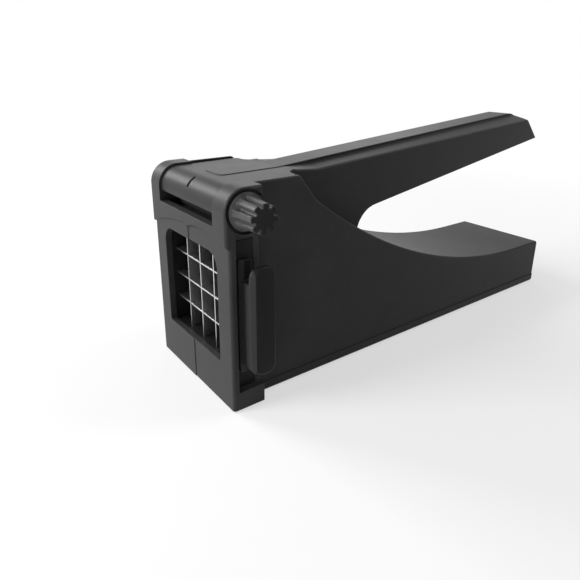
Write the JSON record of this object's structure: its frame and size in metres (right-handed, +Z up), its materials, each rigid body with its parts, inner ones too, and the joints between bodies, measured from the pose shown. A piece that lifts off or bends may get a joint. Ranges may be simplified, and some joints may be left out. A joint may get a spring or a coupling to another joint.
{
  "type": "french fry cutter",
  "caption": "Hand-lever french fry cutter: pressing the handles together swings a studded pusher that drives a potato through a slide-out grid of blades.",
  "frame": {"origin": "on the standing surface, midway across the cutter, straight under the hinge axis", "axes": "+Z up, -Y the side the fries come out of, +Y towards the ends of the handles, X along the hinge pin"},
  "size_m": [0.0947, 0.2789, 0.1283],
  "materials": {
    "frame_plastic": "satin black moulding",
    "body_plastic": "satin black moulding",
    "lever_plastic": "satin black moulding",
    "pusher_plastic": "satin black moulding",
    "cassette_plastic": "satin black moulding",
    "knob_plastic": "semi-gloss black moulding",
    "foot_rubber": "matt rubber",
    "blade_steel": "ground stainless",
    "pin_steel": "drawn rod",
    "fastener_steel": "zinc plated"
  },
  "bodies": {
    "frame": {"front_frame": "frame_plastic", "body_shell": "body_plastic", "base_plate": "body_plastic", "rear_foot_left": "foot_rubber", "rear_foot_right": "foot_rubber", "front_strip": "foot_rubber", "base_screws": "fastener_steel", "frame_screws": "fastener_steel", "pin_nut": "fastener_steel"},
    "lever": {"lever_shell": "lever_plastic", "spine_cover": "lever_plastic", "pusher_plate": "pusher_plastic", "pusher_screws": "fastener_steel"},
    "cassette": {"cassette_front_half": "cassette_plastic", "cassette_rear_half": "cassette_plastic", "cassette_rivets": "fastener_steel", "upright_blade_1": "blade_steel", "upright_blade_2": "blade_steel", "upright_blade_3": "blade_steel", "level_blade_1": "blade_steel", "level_blade_2": "blade_steel", "level_blade_3": "blade_steel", "cassette_grip": "knob_plastic", "grip_pins": "fastener_steel"},
    "pin_carrier": {"pin_washer": "fastener_steel"},
    "pin": {"hinge_pin": "pin_steel", "pin_knob": "knob_plastic"}
  },
  "joints": [
    {"name": "lever_hinge", "type": "hinge", "parent": "frame", "child": "lever", "pos_m": [0, 0, 0.1011], "axis": [1, 0, 0], "range_deg": [0, 85]},
    {"name": "cassette_slide", "type": "slide", "parent": "frame", "child": "cassette", "axis": [1, 0, 0], "range_m": [0, 0.075]},
    {"name": "pin_draw", "type": "slide", "parent": "frame", "child": "pin_carrier", "axis": [1, 0, 0], "range_m": [0, 0.08]},
    {"name": "knob_turn", "type": "hinge", "parent": "pin_carrier", "child": "pin", "pos_m": [0, 0, 0.1011], "axis": [1, 0, 0], "continuous": true}
  ]
}
